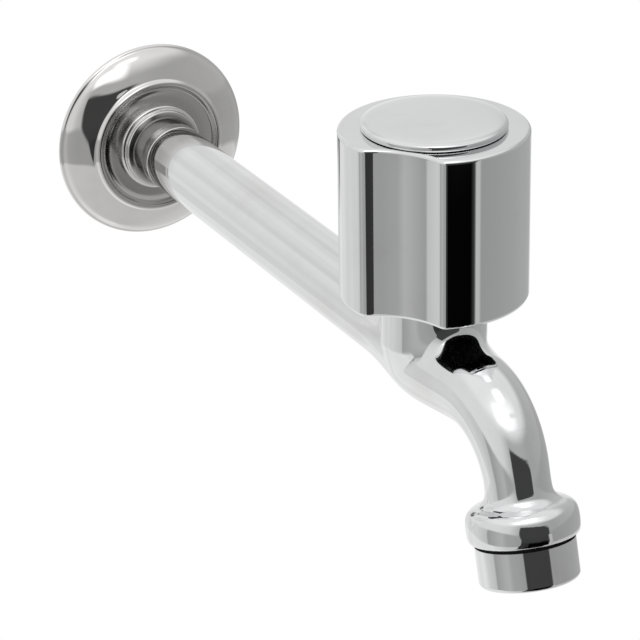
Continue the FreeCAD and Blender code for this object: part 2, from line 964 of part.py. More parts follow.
def make_aerator_cartridge():
    mouth = cartridge_bore - cartridge_lip_width
    high = housing_top - running_gap
    return on_outlet(turned([
        (mouth, cartridge_low),
        (cartridge_radius, cartridge_low),
        (cartridge_radius, high),
        (cartridge_bore, high),
        (cartridge_bore, cartridge_low + cartridge_lip),
        (mouth, cartridge_low + cartridge_lip),
    ]))


def make_aerator_screens():
    screens = []
    for number in range(2):
        low = cartridge_low + cartridge_lip + film_gap + number * (screen_thickness + screen_gap)
        high = low + screen_thickness
        screen = ring(0, insert_fit, low, high)
        field = insert_fit - screen_margin
        holes = hole_grid(field, screen_hole, screen_pitch, low - overcut, high + overcut)
        screens.append(holed(screen, holes))
    return on_outlet(Part.makeCompound(screens))


def make_aerator_diffuser():
    low = diffuser_height
    high = diffuser_height + diffuser_thickness
    cone = turned([(0, low - diffuser_cone_depth), (diffuser_cone_radius, low), (0, low)])
    plate = ring(0, insert_fit, low, high).fuse(cone)
    holes = []
    for number in range(diffuser_holes):
        angle = 2 * math.pi * number / diffuser_holes
        x = diffuser_hole_circle * math.cos(angle)
        y = diffuser_hole_circle * math.sin(angle)
        depth = high - low + 2 * overcut
        holes.append(Part.makeCylinder(diffuser_hole, depth, Vector(x, y, low - overcut)))
    return on_outlet(holed(plate, holes))


def make_aerator_strainer():
    low = strainer_height
    high = strainer_height + strainer_thickness
    field = insert_fit - strainer_rim
    rim = ring(field, insert_fit, diffuser_height + diffuser_thickness, housing_top - slip_gap)
    holes = hole_grid(field, strainer_hole, strainer_pitch, low - overcut, high + overcut)
    return on_outlet(holed(ring(0, insert_fit, low, high), holes).fuse(rim))


pieces = {
    "wall_flange": make_wall_flange,
    "inlet_shank": make_inlet_shank,
    "flow_reducer": make_flow_reducer,
    "body_tube": make_body_tube,
    "valve_body": make_valve_body,
    "headwork_body": make_headwork_body,
    "headwork_o_ring": make_headwork_o_ring,
    "seat_seal": make_seat_seal,
    "ceramic_disc_fixed": make_ceramic_disc_fixed,
    "ceramic_disc_turning": make_ceramic_disc_turning,
    "friction_washer": make_friction_washer,
    "spindle": make_spindle,
    "spindle_o_rings": make_spindle_o_rings,
    "spindle_clip": make_spindle_clip,
    "knob_shell": make_knob_shell,
    "knob_insert": make_knob_insert,
    "knob_screw": make_knob_screw,
    "knob_cap": make_knob_cap,
    "aerator_housing": make_aerator_housing,
    "aerator_gasket": make_aerator_gasket,
    "aerator_cartridge": make_aerator_cartridge,
    "aerator_screens": make_aerator_screens,
    "aerator_diffuser": make_aerator_diffuser,
    "aerator_strainer": make_aerator_strainer,
}

os.makedirs("parts", exist_ok=True)
for name, make in pieces.items():
    shape = make()
    shape.exportStep("parts/" + name + ".step")
    print(name, "solids", len(shape.Solids), "valid", shape.isValid(), "volume", round(shape.Volume, 1))
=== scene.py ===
# %% [markdown]
# A wall-mounted kitchen tap in polished chrome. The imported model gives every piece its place, in
# metres: the wall is the plane Y = 0, the tap stands out towards -Y, and Z is up. This lesson
# dresses that frame: first the camera and the studio, then the finishes, then the pieces.

# %% Load the frame
import json
import math

import bpy
from mathutils import Matrix, Vector

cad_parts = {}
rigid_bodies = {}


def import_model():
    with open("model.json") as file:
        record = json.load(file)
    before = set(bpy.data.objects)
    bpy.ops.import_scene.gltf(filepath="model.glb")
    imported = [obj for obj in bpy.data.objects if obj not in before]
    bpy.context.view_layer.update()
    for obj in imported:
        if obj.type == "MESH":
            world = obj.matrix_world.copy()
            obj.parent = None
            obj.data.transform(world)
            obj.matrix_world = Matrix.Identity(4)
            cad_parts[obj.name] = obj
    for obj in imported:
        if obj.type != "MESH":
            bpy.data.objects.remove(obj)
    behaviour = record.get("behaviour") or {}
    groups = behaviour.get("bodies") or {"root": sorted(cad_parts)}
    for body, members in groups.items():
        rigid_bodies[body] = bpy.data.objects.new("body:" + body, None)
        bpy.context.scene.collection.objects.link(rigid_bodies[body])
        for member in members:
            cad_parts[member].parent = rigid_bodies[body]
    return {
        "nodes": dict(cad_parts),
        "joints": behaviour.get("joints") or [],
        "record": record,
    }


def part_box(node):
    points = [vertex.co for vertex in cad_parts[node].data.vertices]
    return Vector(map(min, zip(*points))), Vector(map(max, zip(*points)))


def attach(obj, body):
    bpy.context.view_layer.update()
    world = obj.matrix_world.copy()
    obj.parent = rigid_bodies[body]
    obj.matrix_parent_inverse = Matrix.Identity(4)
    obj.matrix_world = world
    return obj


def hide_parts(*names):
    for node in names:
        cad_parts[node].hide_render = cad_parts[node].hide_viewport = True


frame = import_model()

mm = 0.001
upwards = Vector((0, 0, 1))
out_of_wall = Vector((0, -1, 0))

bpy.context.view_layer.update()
nodes = frame["nodes"]
knob_axis = Vector(frame["joints"][0]["pos_m"])
bpy.ops.object.select_all(action="DESELECT")
print("nodes:", len(nodes), "knob axis:", tuple(round(v, 4) for v in knob_axis))

# %% [markdown]
# The camera stands left of the tap and above it, so the tube runs away to the wall at the upper
# left. A long lens from 0.8 m keeps the round pieces nearly free of perspective. The camera's
# direction is an azimuth, an elevation and a slight roll, which is easier to correct than angles
# about the three axes.

# %% Camera
view_azimuth = math.radians(-26.775)
view_elevation = math.radians(24.342)
view_roll = math.radians(-0.957)
view_distance = 0.78666
view_target = Vector((-0.00112, -0.11, -0.01416))

camera_data = bpy.data.cameras.new("camera")
camera_data.lens = 168.75
camera_data.sensor_width = 36
camera_data.clip_start = 0.05
camera = bpy.data.objects.new("camera", camera_data)
bpy.context.scene.collection.objects.link(camera)
bpy.context.scene.camera = camera

level = math.cos(view_elevation)
backward = Vector((math.sin(view_azimuth) * level, -math.cos(view_azimuth) * level, math.sin(view_elevation)))
rightward = Vector((math.cos(view_azimuth), math.sin(view_azimuth), 0))
upward = backward.cross(rightward)
camera_right = rightward * math.cos(view_roll) + upward * math.sin(view_roll)
camera_up = upward * math.cos(view_roll) - rightward * math.sin(view_roll)
turn = Matrix((camera_right, camera_up, backward)).transposed().to_4x4()
camera.matrix_world = Matrix.Translation(view_target + backward * view_distance) @ turn
bpy.context.scene.view_settings.view_transform = "Standard"
print("camera at", tuple(round(v, 3) for v in camera.location))

# %% [markdown]
# Chrome shows nothing but its surroundings, so the studio is the picture. Its materials and all the
# finishes are made of shader nodes. A few short helpers add a node, set or link its sockets, and
# hand back its output, so that the steps below read like formulas.

# %% Helpers for shader nodes
def add_node(tree, kind, label="", **settings):
    """Adds a shader node and sets its properties."""
    new = tree.nodes.new(kind)
    new.label = label
    for name, value in settings.items():
        setattr(new, name, value)
    return new


def put(tree, source, target):
    """Puts a value on a socket, or links a socket to it."""
    if isinstance(source, bpy.types.NodeSocket):
        tree.links.new(source, target)
    else:
        target.default_value = source


def math_node(tree, operation, *inputs):
    """Math node with its inputs set or linked."""
    new = add_node(tree, "ShaderNodeMath", operation=operation)
    for socket, value in zip(new.inputs, inputs):
        put(tree, value, socket)
    return new.outputs[0]


def vector_node(tree, operation, *inputs):
    """Vector Math node with its inputs set or linked, and its outputs by name."""
    new = add_node(tree, "ShaderNodeVectorMath", operation=operation)
    for socket, value in zip(new.inputs, inputs):
        put(tree, value, socket)
    return new.outputs


def mix_node(tree, kind, factor, first, second):
    """Mix node for colours, RGBA, or for values, FLOAT, by a factor."""
    new = add_node(tree, "ShaderNodeMix", data_type=kind)
    sockets = [socket for socket in new.inputs if socket.enabled]
    for socket, value in zip(sockets, (factor, first, second)):
        put(tree, value, socket)
    return [socket for socket in new.outputs if socket.enabled][0]


def mix_shaders(tree, factor, first, second):
    """Mix Shader node between two shaders, by a factor."""
    new = add_node(tree, "ShaderNodeMixShader")
    for socket, source in zip(new.inputs, (factor, first, second)):
        put(tree, source, socket)
    return new.outputs[0]


def smooth_range(tree, value, low, high):
    """Rises smoothly from 0 to 1 as a value goes from low to high."""
    rise = add_node(tree, "ShaderNodeMapRange", interpolation_type="SMOOTHSTEP")
    put(tree, value, rise.inputs["Value"])
    put(tree, low, rise.inputs["From Min"])
    put(tree, high, rise.inputs["From Max"])
    return rise.outputs[0]


def split_xyz(tree, vector):
    """The three parts of a vector, by the names of their axes."""
    split = add_node(tree, "ShaderNodeSeparateXYZ")
    tree.links.new(vector, split.inputs[0])
    return split.outputs


def around_horizon(tree, right, ahead):
    """Share of a full turn at which a direction lies, where 0.5 is straight ahead."""
    azimuth = math_node(tree, "ARCTAN2", right, ahead)
    return math_node(tree, "MULTIPLY_ADD", azimuth, 1 / (2 * math.pi), 0.5)


def grey_of(display):
    """Linear value of a grey that a screen shows at this level, from 0 to 255."""
    share = display / 255
    return share / 12.92 if share <= 0.04045 else ((share + 0.055) / 1.055) ** 2.4


def grey_ramp(tree, factor, stops):
    """Colour ramp of greys from (place, level on screen) stops."""
    ramp = add_node(tree, "ShaderNodeValToRGB")
    elements = ramp.color_ramp.elements
    while len(elements) < len(stops):
        elements.new(1.0)
    for element, (place, shown) in zip(elements, stops):
        element.position = place
        element.color = (grey_of(shown), grey_of(shown), grey_of(shown), 1)
    put(tree, factor, ramp.inputs[0])
    return ramp.outputs[0]


# %% [markdown]
# Light tents are pale all round, with darker sides, so that a round piece gets a dark band along
# each side and reads as round. Here the world does it by direction, with four ramps of greys round
# the horizon, one above the other. Their stops are azimuths in degrees from straight ahead of the
# tap, -Y, towards +X. A level is what a screen would show, divided by the chrome's own reflectance
# so that the metal shows it. The lines between the ramps are sines of the elevation.

# %% Levels of the tent
chrome_reflectance = 0.8


def shown_beside(shown):
    """Level of the surroundings that chrome mirrors as the level shown."""
    linear = min(1.0, grey_of(shown) / chrome_reflectance)
    return 255 * (linear * 12.92 if linear <= 0.0031308 else 1.055 * linear ** (1 / 2.4) - 0.055)


def around_share(azimuth):
    """Place of an azimuth on a ramp that goes once round the horizon."""
    return azimuth / 360 + 0.5


def tent_stops(levels):
    """Stops for a ramp round the horizon, from (azimuth, level seen in the chrome)."""
    return [(around_share(azimuth), shown_beside(shown)) for azimuth, shown in levels]


floor_tent = tent_stops([(-180, 220), (-95, 218), (-60, 190), (0, 184), (60, 184), (120, 200), (180, 220)])
low_tent = tent_stops([
    (-180, 206), (-130, 203), (-105, 187), (-102, 151), (-79, 168), (-71, 171), (-62, 156), (-40, 150),
    (29, 146), (129, 163), (142, 212), (165, 216), (180, 206),
])
middle_tent = tent_stops([
    (-180, 211), (-150, 212), (-90, 212), (-60, 205), (-35, 165), (0, 165), (35, 157), (100, 170),
    (135, 180), (150, 211), (180, 211),
])
upper_tent = tent_stops([(-180, 222), (-60, 226), (0, 224), (60, 214), (180, 222)])
floor_line = (-0.47, -0.425)
middle_line = (-0.04, 0.06)
upper_line = (0.5, 0.75)
print("stops of the ramps:", [len(ramp) for ramp in (floor_tent, low_tent, middle_tent, upper_tent)])

# %% [markdown]
# The camera's stand is a dark shape in the tent. It spreads to the left from its foot upwards, its
# right side leans in near the top, and each side has its own softness. Mirrored, it becomes the dark
# flame on the spout and the dark crescent on the flange.

# %% Dark stand of the camera
stand_level = 60
stand_left = (around_share(-22), around_share(-39))
stand_right = (around_share(24), around_share(-24))
stand_foot = (-0.45, 0.05)
stand_lean = (0.26, 0.48)
stand_top = (0.38, 0.47)
stand_softening = (0.12, 0.3)
stand_edge = 3 / 360
stand_foot_edge = 9 / 360
stand_top_edge = 16 / 360


def dark_stand(tree, turn, height):
    """Mask of the stand, from the share round the horizon and the sine of the elevation."""
    up_from_foot = smooth_range(tree, height, *stand_foot)
    left = mix_node(tree, "FLOAT", up_from_foot, *stand_left)
    left_edge = mix_node(tree, "FLOAT", up_from_foot, stand_foot_edge, stand_edge)
    right = mix_node(tree, "FLOAT", smooth_range(tree, height, *stand_lean), *stand_right)
    softening = smooth_range(tree, height, *stand_softening)
    right_edge = mix_node(tree, "FLOAT", softening, stand_edge, stand_top_edge)
    from_left = smooth_range(tree, math_node(tree, "SUBTRACT", turn, left), 0.0, left_edge)
    from_right = smooth_range(tree, math_node(tree, "SUBTRACT", right, turn), 0.0, right_edge)
    between = math_node(tree, "MULTIPLY", from_left, from_right)
    under_top = math_node(tree, "SUBTRACT", 1.0, smooth_range(tree, height, *stand_top))
    above_floor = smooth_range(tree, height, *floor_line)
    return math_node(tree, "MULTIPLY", math_node(tree, "MULTIPLY", between, under_top), above_floor)


# %% [markdown]
# The cloth of the tent hangs in slight folds, deeper behind the tap, which a noise stands for: on
# the long tube they become the fine streaks that run along it. The camera itself sees plain white.

# %% World
fold_scale = 3.6
fold_depth_ahead = 0.06
fold_depth_added_behind = 0.6
behind_tap = (0.6, 0.8)

world = bpy.data.worlds.new("light_tent")
bpy.context.scene.world = world
world.use_nodes = True
tent = world.node_tree
tent.nodes.clear()
way = add_node(tent, "ShaderNodeTexCoord").outputs["Generated"]
parts = split_xyz(tent, way)
around = around_horizon(tent, parts["X"], math_node(tent, "MULTIPLY", parts["Y"], -1.0))
height = parts["Z"]

cloth = grey_ramp(tent, around, floor_tent)
for line, stops in ((floor_line, low_tent), (middle_line, middle_tent), (upper_line, upper_tent)):
    cloth = mix_node(tent, "RGBA", smooth_range(tent, height, *line), cloth, grey_ramp(tent, around, stops))
stand_grey = (grey_of(shown_beside(stand_level)),) * 3 + (1,)
cloth = mix_node(tent, "RGBA", dark_stand(tent, around, height), cloth, stand_grey)

folds = add_node(tent, "ShaderNodeTexNoise")
folds.inputs["Scale"].default_value = fold_scale
folds.inputs["Detail"].default_value = 1.0
tent.links.new(way, folds.inputs["Vector"])
behind = smooth_range(tent, parts["Y"], *behind_tap)
fold_depth = math_node(tent, "MULTIPLY_ADD", behind, fold_depth_added_behind, fold_depth_ahead)
fold = math_node(tent, "SUBTRACT", folds.outputs["Fac"], 0.5)

tent_light = add_node(tent, "ShaderNodeBackground")
put(tent, cloth, tent_light.inputs["Color"])
put(tent, math_node(tent, "MULTIPLY_ADD", fold, fold_depth, 1.0), tent_light.inputs["Strength"])
plain_white = add_node(tent, "ShaderNodeBackground")
plain_white.inputs["Color"].default_value = (1, 1, 1, 1)
seen_directly = add_node(tent, "ShaderNodeLightPath").outputs["Is Camera Ray"]
surroundings = mix_shaders(tent, seen_directly, tent_light.outputs[0], plain_white.outputs[0])
tent.links.new(surroundings, add_node(tent, "ShaderNodeOutputWorld").inputs[0])
print("world:", world.name, "with", len(tent.nodes), "nodes")

# %% [markdown]
# The floor is plain and pale, and the camera sees it as white. Polished metal gets its depth from
# what is dark around it, and its highlights from small bright cards. The materials of the cards are
# light alone: a band of greys that goes by the azimuth, hazier far away, or one level that fades
# out towards the card's sides. One of them also shows the shadow of the bar that carries the card.

# %% Materials of the floor and the cards
far_level = 58
haze_from = (0.6, 1.2)
spot_strength = 16.0
frame_bar = 0.42
frame_bar_softness = 0.09


def bare_material(name):
    """New material with nothing but its output, and its tree."""
    material = bpy.data.materials.new(name)
    material.use_nodes = True
    material.node_tree.nodes.clear()
    return material, material.node_tree, add_node(material.node_tree, "ShaderNodeOutputMaterial").inputs[0]


def glow(tree, colour):
    """Light of a colour, set or linked."""
    light = add_node(tree, "ShaderNodeEmission")
    put(tree, colour, light.inputs["Color"])
    return light.outputs[0]


def object_place(tree):
    """Object coordinates, whole and split into their three parts."""
    place = add_node(tree, "ShaderNodeTexCoord").outputs["Object"]
    return place, split_xyz(tree, place)


def floor_paper():
    """Pale paper that the camera sees as white from above, and not at all from below."""
    material, tree, out = bare_material("floor_paper")
    paper = add_node(tree, "ShaderNodeBsdfDiffuse")
    paper.inputs["Color"].default_value = (0.8, 0.8, 0.8, 1)
    seen_directly = add_node(tree, "ShaderNodeLightPath").outputs["Is Camera Ray"]
    upper_side = mix_shaders(tree, seen_directly, paper.outputs[0], glow(tree, (1, 1, 1, 1)))
    from_below = add_node(tree, "ShaderNodeNewGeometry").outputs["Backfacing"]
    clear = add_node(tree, "ShaderNodeBsdfTransparent").outputs[0]
    tree.links.new(mix_shaders(tree, from_below, upper_side, clear), out)
    return material


def banded_card(name, centre, stops):
    """Card whose level goes by the azimuth round a centre, from (azimuth, level in the chrome)."""
    material, tree, out = bare_material(name)
    _, split = object_place(tree)
    ahead = math_node(tree, "SUBTRACT", centre.y, split["Y"])
    around = around_horizon(tree, split["X"], ahead)
    near = tent_stops(stops)
    far = [(share, max(shown_beside(far_level), shown)) for share, shown in near]
    distance = smooth_range(tree, ahead, *haze_from)
    bands = mix_node(tree, "RGBA", distance, grey_ramp(tree, around, near), grey_ramp(tree, around, far))
    tree.links.new(glow(tree, bands), out)
    return material


def faded_card(name, level, fade_of):
    """Card of one level, clear where its fade is 0."""
    material, tree, out = bare_material(name)
    clear = add_node(tree, "ShaderNodeBsdfTransparent").outputs[0]
    tree.links.new(mix_shaders(tree, fade_of(tree), clear, glow(tree, (level, level, level, 1))), out)
    return material


def place_on_card(tree):
    """Place on a card, from 0 to 1 along each side."""
    return split_xyz(tree, add_node(tree, "ShaderNodeTexCoord").outputs["UV"])


def soft_spot(tree):
    """Fade from 1 in the middle of a card to 0 at its sides."""
    across = place_on_card(tree)
    inside = spot_strength
    for axis in ("X", "Y"):
        rest = math_node(tree, "SUBTRACT", 1.0, across[axis])
        inside = math_node(tree, "MULTIPLY", inside, math_node(tree, "MULTIPLY", across[axis], rest))
    return smooth_range(tree, inside, 0.0, 1.0)


def barred_spot(tree):
    """The same fade, with the shadow of the bar that carries the card."""
    from_bar = math_node(tree, "ABSOLUTE", math_node(tree, "SUBTRACT", place_on_card(tree)["Y"], frame_bar))
    beside_bar = smooth_range(tree, from_bar, 0.0, frame_bar_softness)
    return math_node(tree, "MULTIPLY", soft_spot(tree), beside_bar)


# %% [markdown]
# The floor lies far enough below the tap to keep its soft shadow out of the picture. The black card
# lies on it, ahead of the tap, and widens away from it, so that its band on a round piece is equally
# wide all the way down. Its near and far edges are given by their Y, lowest X and highest X. Three
# white cards hang above for the highlights of the spout, the saddle and the flange. The camera
# doesn't see the cards, and they light nothing but mirrors.

# %% Floor and cards
floor_height = -0.2
card_edges = {1: (-0.30, -0.084, 0.069), -1: (-4.0, -2.46, 2.02)}
black_bands = [
    (-34, 52), (-19, 40), (-17, 4), (15, 3), (17, 46), (19.5, 58), (20.5, 180), (25.5, 178), (27.5, 145),
]


def for_mirrors_only(card, material):
    """Gives a card its material and hides it from everything but reflections."""
    card.data.materials.append(material)
    card.visible_camera = False
    card.visible_diffuse = False
    card.visible_shadow = False


def hanging_card(name, centre, aim, width, height, material):
    """Card of a width and a height that hangs at its centre and faces a point."""
    facing = (Vector(aim) - Vector(centre)).to_track_quat("Z", "Y").to_euler()
    bpy.ops.mesh.primitive_plane_add(size=1, location=centre, rotation=facing)
    card = bpy.context.object
    card.name = name
    card.scale = (width, height, 1)
    bpy.ops.object.transform_apply(location=True, rotation=True, scale=True)
    for_mirrors_only(card, material)
    return card


bpy.ops.mesh.primitive_plane_add(size=8, location=(0, 0, floor_height))
floor = bpy.context.object
floor.name = "floor"
floor.data.materials.append(floor_paper())
floor.visible_glossy = False

bpy.ops.mesh.primitive_plane_add(size=2, location=(0, 0, floor_height + 2 * mm))
black_card = bpy.context.object
black_card.name = "black_card"
bpy.ops.object.transform_apply(location=True)
for corner in black_card.data.vertices:
    y, low_x, high_x = card_edges[round(corner.co.y)]
    corner.co.x = high_x if corner.co.x > 0 else low_x
    corner.co.y = y
for_mirrors_only(black_card, banded_card("black_card", knob_axis, black_bands))
spout_card = hanging_card("spout_card", (-0.03, -0.32, 0.17), (-0.03, -0.406, -0.01), 0.26, 0.28,
                          faded_card("spout_card", 1.3, barred_spot))
flange_card = hanging_card("flange_card", (-0.15, -0.41, 0.44), (0, -0.005, 0.02), 0.46, 0.28,
                           faded_card("flange_card", 1.9, soft_spot))
saddle_card = hanging_card("saddle_card", (0, -0.27, 0.45), (0, -0.2, 0), 0.25, 0.18,
                           faded_card("saddle_card", 1.6, soft_spot))
print("cards:", black_card.name, spout_card.name, flange_card.name, saddle_card.name)

# %% [markdown]
# One large softbox high up at the left lights what isn't metal. The mirrors don't show it, because
# their highlights come from the cards.

# %% Softbox
softbox_side = 0.6
softbox_level = 1.1

lamp_data = bpy.data.lights.new("softbox", "AREA")
lamp_data.shape = "RECTANGLE"
lamp_data.size = softbox_side
lamp_data.size_y = softbox_side
lamp_data.energy = softbox_level * math.pi * softbox_side ** 2
softbox = bpy.data.objects.new("softbox", lamp_data)
bpy.context.scene.collection.objects.link(softbox)
softbox.visible_glossy = False
softbox.location = (-0.6, -0.7, 1.1)
softbox.rotation_euler = (softbox.location - knob_axis).to_track_quat("Z", "Y").to_euler()
print("softbox at", tuple(softbox.location))

# %% [markdown]
# Chrome plate is a thin mirror over polished brass. Its faults are small: a slow ripple left by the
# buffing wheel, and a film of dried water that dulls it a little in patches. One node group makes
# both, and each chrome piece sets its own amounts.

# %% Node group for polished plate
def new_group(name, inputs, outputs):
    """Shader node group with float inputs and outputs, and its two end nodes."""
    group = bpy.data.node_groups.new(name, "ShaderNodeTree")
    for socket, value in inputs:
        added = group.interface.new_socket(name=socket, in_out="INPUT", socket_type="NodeSocketFloat")
        added.default_value = value
    for socket in outputs:
        group.interface.new_socket(name=socket, in_out="OUTPUT", socket_type="NodeSocketFloat")
    return group, add_node(group, "NodeGroupInput").outputs, add_node(group, "NodeGroupOutput").inputs


def noise(tree, vector, scale, detail=2.0, roughness=0.5):
    """Noise texture on the given coordinates."""
    new = add_node(tree, "ShaderNodeTexNoise")
    tree.links.new(vector, new.inputs["Vector"])
    put(tree, scale, new.inputs["Scale"])
    new.inputs["Detail"].default_value = detail
    new.inputs["Roughness"].default_value = roughness
    return new.outputs["Fac"]


plate_group, given, made = new_group(
    "polished_plate",
    [("Ripple Scale", 60.0), ("Film Scale", 45.0), ("Film Amount", 0.03), ("Base Roughness", 0.03)],
    ["Ripple Height", "Film", "Roughness"])
place, _ = object_place(plate_group)
put(plate_group, noise(plate_group, place, given["Ripple Scale"], detail=1.0), made["Ripple Height"])
clouds = noise(plate_group, place, given["Film Scale"], detail=4.0, roughness=0.6)
film = smooth_range(plate_group, clouds, 0.45, 0.75)
put(plate_group, film, made["Film"])
film_rough = math_node(plate_group, "MULTIPLY_ADD", film, given["Film Amount"], given["Base Roughness"])
put(plate_group, film_rough, made["Roughness"])
print("groups:", plate_group.name)

# %% [markdown]
# The other finishes share three more effects. Turned brass and steel carry the fine rings of the
# lathe, which run round the knob's axis. Moulded and ground pieces have a fine grain. The aerator's
# screens are woven wire, which is drawn as two crossing sets of threads that pass over and under.

# %% Node groups for turned and grainy surfaces
def distance_from_axis(tree, place, axis, flat=(1, 1, 0)):
    """Distance of the shaded point from an axis, upright or along Y."""
    moved = vector_node(tree, "SUBTRACT", place, axis)["Vector"]
    across = vector_node(tree, "MULTIPLY", moved, flat)["Vector"]
    return vector_node(tree, "LENGTH", across)["Value"]


turned_group, given, made = new_group("turning_marks", [("Marks per mm", 5.0)], ["Height", "Shade"])
place, split = object_place(turned_group)
rings = add_node(turned_group, "ShaderNodeCombineXYZ")
put(turned_group, distance_from_axis(turned_group, place, knob_axis), rings.inputs["X"])
put(turned_group, split["Z"], rings.inputs["Z"])
ring_scale = math_node(turned_group, "DIVIDE", given["Marks per mm"], mm)
put(turned_group, noise(turned_group, rings.outputs[0], ring_scale), made["Height"])
put(turned_group, noise(turned_group, place, scale=260.0, detail=3.0, roughness=0.6), made["Shade"])

grain_group, given, made = new_group("moulded_grain", [("Grain Scale", 2500.0), ("Cloud Scale", 120.0)],
                                     ["Height", "Cloud"])
place, _ = object_place(grain_group)
grain = noise(grain_group, place, given["Grain Scale"], detail=3.0, roughness=0.65)
put(grain_group, grain, made["Height"])
clouds = noise(grain_group, place, given["Cloud Scale"], detail=3.0, roughness=0.6)
put(grain_group, clouds, made["Cloud"])
print("groups:", turned_group.name, grain_group.name)

# %% [markdown]
# The weave lies square to the outlet, which leans forwards. So it is drawn in X and in a second
# direction that leans with the outlet.

# %% Node group for woven wire
outlet_lean = math.radians(15.5)
outlet_ahead = 46.8
outlet_drop = 39.9
outlet_up = Vector((0, math.sin(outlet_lean), math.cos(outlet_lean)))
outlet = Vector((0, knob_axis.y - outlet_ahead * mm, -outlet_drop * mm))
wire_rise = 0.3
wire_edge = (0.72, 0.82)

woven_group, given, made = new_group("woven_wire", [("Threads per mm", 2.0)], ["Height", "Wire"])
_, split = object_place(woven_group)
leaning = math_node(woven_group, "SUBTRACT",
                    math_node(woven_group, "MULTIPLY", split["Y"], math.cos(outlet_lean)),
                    math_node(woven_group, "MULTIPLY", split["Z"], math.sin(outlet_lean)))
turns = math_node(woven_group, "MULTIPLY", given["Threads per mm"], math.pi / mm)
phases = [math_node(woven_group, "MULTIPLY", along, turns) for along in (split["X"], leaning)]
threads = []
for phase, other, side in ((phases[0], phases[1], 1.0), (phases[1], phases[0], -1.0)):
    body_of_wire = math_node(woven_group, "ABSOLUTE", math_node(woven_group, "SINE", phase))
    over_under = math_node(woven_group, "COSINE", other)
    way_over = math_node(woven_group, "MULTIPLY", over_under, math_node(woven_group, "COSINE", phase))
    threads.append(math_node(woven_group, "MULTIPLY_ADD", way_over, wire_rise * side, body_of_wire))
top_thread = math_node(woven_group, "MAXIMUM", *threads)
put(woven_group, top_thread, made["Height"])
put(woven_group, smooth_range(woven_group, top_thread, *wire_edge), made["Wire"])
print("groups:", woven_group.name)

# %% [markdown]
# Each finish is one function or one short recipe: a Principled shader, the group that gives its
# pattern, and the pattern's way into colour, roughness and bump. The chrome of the flange and of the
# shank is a little warmer than the rest. The flange's seat, inside its bead, is rougher, because a
# buffing wheel doesn't reach it, and its colour is painted darker as shade.

# %% Chrome finishes
def finish(name, group, metallic, values=()):
    """New material with a Principled shader and one of the groups, and its parts."""
    material = bpy.data.materials.new(name)
    material.use_nodes = True
    tree = material.node_tree
    surface = tree.nodes["Principled BSDF"]
    surface.inputs["Metallic"].default_value = metallic
    pattern = add_node(tree, "ShaderNodeGroup", node_tree=group)
    for socket, value in values:
        pattern.inputs[socket].default_value = value
    return material, tree, surface, pattern.outputs


def tint(tree, surface, mask, first, second):
    """Colours a surface from the first colour to the second by a mask."""
    put(tree, mix_node(tree, "RGBA", mask, first, second), surface.inputs["Base Color"])


def relief(tree, surface, height, depth):
    """Bump of a depth in metres on a surface."""
    bump = add_node(tree, "ShaderNodeBump")
    bump.inputs["Distance"].default_value = depth
    tree.links.new(height, bump.inputs["Height"])
    tree.links.new(bump.outputs[0], surface.inputs["Normal"])


def chrome(name, clean=(0.80, 0.805, 0.81, 1), filmed=(0.75, 0.75, 0.745, 1), ripple_depth=0.004 * mm,
           roughness=0.03):
    """Chrome plate, a little duller where its film is."""
    material, tree, surface, pattern = finish(name, plate_group, 1.0, [("Base Roughness", roughness)])
    tint(tree, surface, pattern["Film"], clean, filmed)
    put(tree, pattern["Roughness"], surface.inputs["Roughness"])
    relief(tree, surface, pattern["Ripple Height"], ripple_depth)
    return material, tree, surface


def over(tree, surface, socket, kind, mask, value):
    """Covers what feeds a socket with a value where the mask is 1."""
    links = surface.inputs[socket].links
    below = links[0].from_socket if links else surface.inputs[socket].default_value
    put(tree, mix_node(tree, kind, mask, below, value), surface.inputs[socket])


def over_painted_shade(tree, surface, mask, grey, roughness):
    """Covers the chrome with a dark, dull grey that no longer mirrors, where the mask is 1: painted shade."""
    over(tree, surface, "Base Color", "RGBA", mask, grey)
    over(tree, surface, "Metallic", "FLOAT", mask, 0.0)
    over(tree, surface, "Roughness", "FLOAT", mask, roughness)


warm = ((0.80, 0.79, 0.785, 1), (0.74, 0.73, 0.72, 1))
seat_edge = (19.4 * mm, 18.8 * mm)

plain_chrome, _, _ = chrome("chrome_plate")
flange_chrome, tree, surface = chrome("chrome_plate_warm", *warm, 0.008 * mm)
place, _ = object_place(tree)
seat = smooth_range(tree, distance_from_axis(tree, place, (0, 0, 0), (1, 0, 1)), *seat_edge)
over(tree, surface, "Roughness", "FLOAT", seat, 0.16)
# painted shade: the seat inside the bead is made darker
over(tree, surface, "Base Color", "RGBA", seat, (0.55, 0.54, 0.53, 1))
print("chrome finishes:", plain_chrome.name, flange_chrome.name)

# %% [markdown]
# A plating bath reaches poorly into hollows, so the knob's hollow is bare and dull, and it is painted
# near-black as shade. That hollow is what the polished saddle of the body mirrors. The material covers
# its chrome where masks made of distances say so: inside the knob's wall, outside the notch, below the
# roof.

# %% Chrome of the knob
notch_angle = math.radians(50.8)
notch_from_axis = 39 * mm
notch_radius = 22 * mm
hollow_radius = 21.5 * mm
roof_thickness = 2.9 * mm
notch_axis = knob_axis + Vector((-math.sin(notch_angle), -math.cos(notch_angle), 0)) * notch_from_axis
hollow_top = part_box("knob_shell")[1].z - roof_thickness

knob_chrome, tree, surface = chrome("chrome_plate_hollow_shade")
place, split = object_place(tree)
within = math_node(tree, "LESS_THAN", distance_from_axis(tree, place, knob_axis), hollow_radius)
beyond = math_node(tree, "GREATER_THAN", distance_from_axis(tree, place, notch_axis), notch_radius)
below = math_node(tree, "LESS_THAN", split["Z"], hollow_top)
hollow = math_node(tree, "MULTIPLY", math_node(tree, "MULTIPLY", within, beyond), below)
# painted shade: the knob's hollow is made near-black and dull
over_painted_shade(tree, surface, hollow, (0.012, 0.012, 0.013, 1), 0.75)
print("knob's hollow up to", round(hollow_top, 4))
